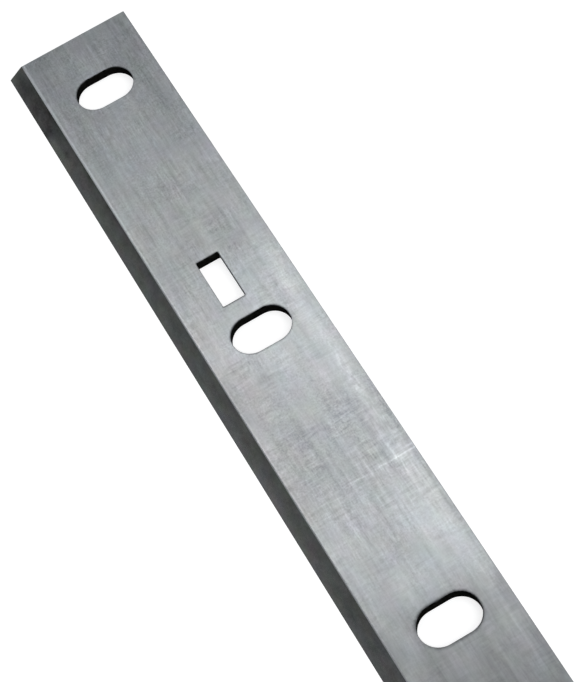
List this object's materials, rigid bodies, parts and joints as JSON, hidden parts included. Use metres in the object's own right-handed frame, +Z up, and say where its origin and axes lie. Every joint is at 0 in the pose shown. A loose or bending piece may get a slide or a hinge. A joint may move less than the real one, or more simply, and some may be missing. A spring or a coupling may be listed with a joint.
{
  "type": "planer knife",
  "caption": "Flat ground-steel planer knife: a long thin bar bevelled along one edge, with cross slots for clamping screws and a rectangular setting window.",
  "frame": {"origin": "on the underside, below the middle of the bar's length and width", "axes": "+X along the cutting edge, +Y from the cutting edge to the back edge, +Z up from the underside to the bevelled side"},
  "size_m": [0.3, 0.035, 0.003],
  "materials": {
    "ground_steel": "satin"
  },
  "bodies": {
    "root": {"planer_knife": "ground_steel"}
  },
  "joints": []
}
